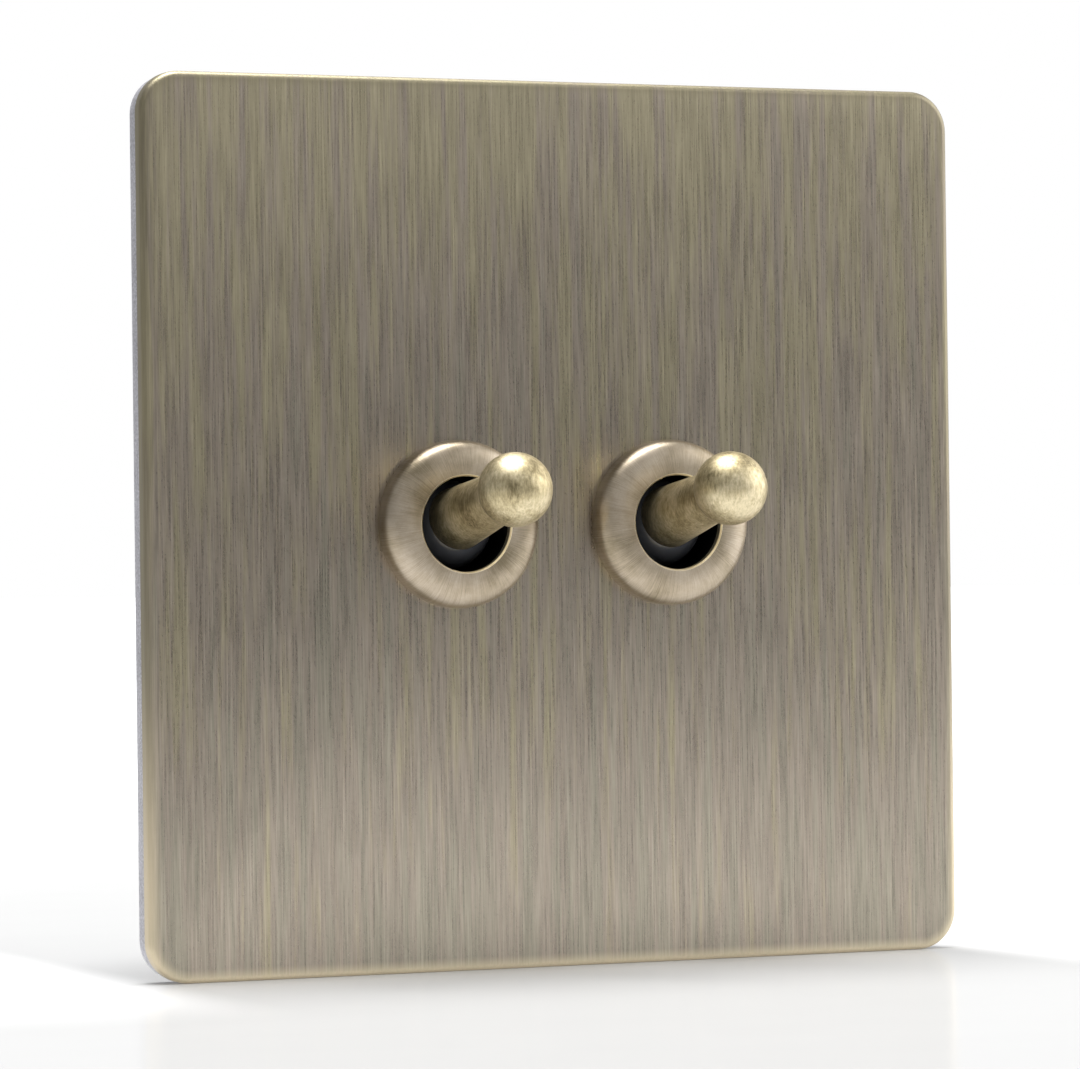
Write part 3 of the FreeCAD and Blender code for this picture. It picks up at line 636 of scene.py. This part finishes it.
def makeFixingScrews():
    look = fixing
    low, high = (Vector(corner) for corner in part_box("fixing_screws"))
    screws = []
    for x in (low.x + look["head"], high.x - look["head"]):
        under = low.y + look["headHigh"]
        corners = [(0, low.y), (look["head"] - look["edge"], low.y), (look["head"], low.y + look["edge"]),
                   (look["head"], under), (look["neck"], under), (look["neck"], 0)]
        y = 0.5 * look["pitch"]
        while y < high.y - 2 * look["pitch"]:
            corners += [(look["root"], y), (look["crest"], y + look["pitch"] / 2)]
            y += look["pitch"]
        corners += [(look["root"], y), (look["tip"], high.y), (0, high.y)]
        piece = turned("fixingScrew", corners, (x, 0), look["steps"])
        half = look["slot"] / 2
        groove = slab("groove", (x - 2 * look["head"], low.y - mm, -half),
                      (x + 2 * look["head"], low.y + look["headHigh"] / 2, half))
        screws.append(combine(piece, groove, "DIFFERENCE"))
    choose(screws[0])
    screws[1].select_set(True)
    bpy.ops.object.join()
    smooth(screws[0], 25)
    finish(screws[0], "fixing_screws")


# Moulded and machined pieces keep their shape and get eased edges

easing = {
    "housing_shell": 0.35 * mm, "contact_base": 0.3 * mm, "com_terminal": 0.12 * mm,
    "up_terminal": 0.12 * mm, "down_terminal": 0.12 * mm, "terminal_screws": 0.12 * mm,
    "case_screws": 0.1 * mm, "clamp_nut": 0.12 * mm, "carriage": 0.15 * mm,
}


def ease(name, width, body="switch_body"):
    mesh = nodes[name].data.copy()
    piece = bpy.data.objects.new(name + "Eased", mesh)
    bpy.context.scene.collection.objects.link(piece)
    edit(piece)
    bpy.ops.mesh.select_all(action="SELECT")
    bpy.ops.mesh.remove_doubles(threshold=weldGap["eased"])
    bpy.ops.mesh.dissolve_limited(angle_limit=math.radians(1))
    bpy.ops.object.mode_set(mode="OBJECT")
    bevel = piece.modifiers.new("ease", "BEVEL")
    bevel.width = width
    bevel.segments = 3
    bevel.limit_method = "ANGLE"
    bevel.angle_limit = math.radians(40)
    bpy.ops.object.modifier_apply(modifier=bevel.name)
    smooth(piece, 35)
    finish(piece, name, body)


makeFrontPlate()
makeBackFrame()
for side in sides:
    makeCollar(side)
    makeLever(side)
    makeShield(side)
makeFixingScrews()
print("front pieces made")
for side in sides:
    for name, width in easing.items():
        body = f"{side}_carriage_body" if name == "carriage" else "switch_body"
        ease(f"{side}_{name}", width, body)
ease("earth_block", 0.2 * mm)
ease("earth_screw", 0.12 * mm)
ease("yoke", 0.15 * mm)
print("eased pieces made")


# Camera

view = {"place": (-0.20919, -0.46553, -0.00363), "yaw": 24.1189, "pitch": 0.2908, "roll": -0.7091,
        "sensor": 36.0, "lens": 173.91}


def makeCamera():
    begin()
    bpy.ops.object.camera_add(location=view["place"])
    camera = bpy.context.object
    turns = ((-view["yaw"], "Z"), (90 + view["pitch"], "X"), (view["roll"], "Z"))
    turn = Matrix.Identity(3)
    for degrees, axis in turns:
        turn = turn @ Matrix.Rotation(math.radians(degrees), 3, axis)
    camera.rotation_euler = turn.to_euler()
    camera.data.sensor_width = view["sensor"]
    camera.data.lens = view["lens"]
    camera.data.clip_start = 0.01
    bpy.context.scene.camera = camera


makeCamera()


# Floor, world and lamps

studio = {
    "floor": 0.56, "seenFloor": 0.5, "mirrored": 0.42, "reach": 6.0, "frontEdge": -0.30, "sheen": 1.035,
    "rough": 0.14, "glow": 0.9, "glowFrom": 0.05, "glowTo": 0.6, "sideGlow": 0.6, "sideFrom": 0.04,
    "sideTo": 0.05, "sideStart": -0.045, "sideFull": 0.006, "gap": 0.02 * mm,
}


def makeFloor():
    begin()
    look = studio
    low = cadBounds[0][2]
    middle = look["frontEdge"] + look["reach"] / 2
    bpy.ops.mesh.primitive_plane_add(size=look["reach"], location=(0, middle, low - look["gap"]))
    floor = settle(bpy.context.object)
    floor.name = "floor"
    paint = newPaint("whiteTable", Roughness=look["rough"], IOR=look["sheen"], Emission_Strength=1.0)
    grain = paint.evenNoise(90)
    lit = paint.ramp(grain, (0.3, look["floor"]), (0.7, look["floor"] * 1.01))
    shown = paint.ramp(grain, (0.3, look["seenFloor"]), (0.7, look["seenFloor"] * 1.01))
    level = paint.mix(paint.seenBy("Is Camera Ray"), lit, shown)
    depth = paint.axis(paint.place(), "Y")
    aside = paint.node("Math", {"operation": "ABSOLUTE"}, {0: paint.axis(paint.place(), "X")})
    # The floor shines far behind the switch and beside its foot, so that it runs into a white background; beside
    # the foot this glow is painted light over the switch's shadow
    far = paint.rise(depth, look["glowFrom"], look["glowTo"], look["glow"])
    beside = paint.rise(aside, look["sideFrom"], look["sideTo"], look["sideGlow"])
    beside = beside * paint.rise(depth, look["sideStart"], look["sideFull"], 1.0)
    seen = paint.seenBy("Is Camera Ray", "Is Transmission Ray")
    mirrored = paint.seenBy("Is Glossy Ray") * look["mirrored"]
    glow = paint.ramp((far + beside) * seen + mirrored, (0.0, 0.0), (1.0, 1.0))
    floor.data.materials.append(paint.feed(Base_Color=level, Emission_Color=glow))


sky = {"room": ((0.0, 0.16), (0.08, 0.42), (0.2, 0.9), (0.45, 0.85), (0.9, 0.5)),
       "backFrom": 0.25, "backTo": 0.8, "left": 0.5, "right": 1.3, "side": 0.7, "backLevel": 0.6}


def makeWorld():
    world = bpy.data.worlds.new("studioWorld")
    bpy.context.scene.world = world
    paint = Paint(world, "Background")
    direction = paint.node("TexCoord", output="Generated")
    across, depth, height = (paint.axis(direction, name) for name in "XYZ")
    room = paint.ramp(height, *sky["room"])
    sideways = {"Value": across, "From Min": -sky["side"], "From Max": sky["side"],
                "To Min": sky["left"], "To Max": sky["right"]}
    dimmed = paint.mix(1.0, room, paint.node("MapRange", None, sideways), "MULTIPLY")
    behind = paint.rise(depth, sky["backFrom"], sky["backTo"], 1.0)
    light = paint.mix(behind, dimmed, (*(sky["backLevel"],) * 3, 1))
    seen = paint.seenBy("Is Camera Ray", "Is Transmission Ray")
    paint.feed(Color=paint.mix(seen, light, (1, 1, 1, 1)))


lamps = {
    "overhead": {"place": (-0.02, 0.03, 0.5), "size": 0.3, "power": 4.8},
    "rightSide": {"place": (0.55, -0.12, 0.16), "size": 0.7, "power": 3.2},
}


def makeLamps():
    for name, lamp in lamps.items():
        begin()
        bpy.ops.object.light_add(type="AREA", location=lamp["place"])
        light = bpy.context.object
        light.name = name
        light.data.shape = "SQUARE"
        light.data.size = lamp["size"]
        light.data.energy = lamp["power"]
        aim = -Vector(lamp["place"])
        light.rotation_euler = aim.to_track_quat("-Z", "Y").to_euler()


makeFloor()
makeWorld()
makeLamps()
bpy.context.scene.view_settings.view_transform = "Standard"
print("stage made")
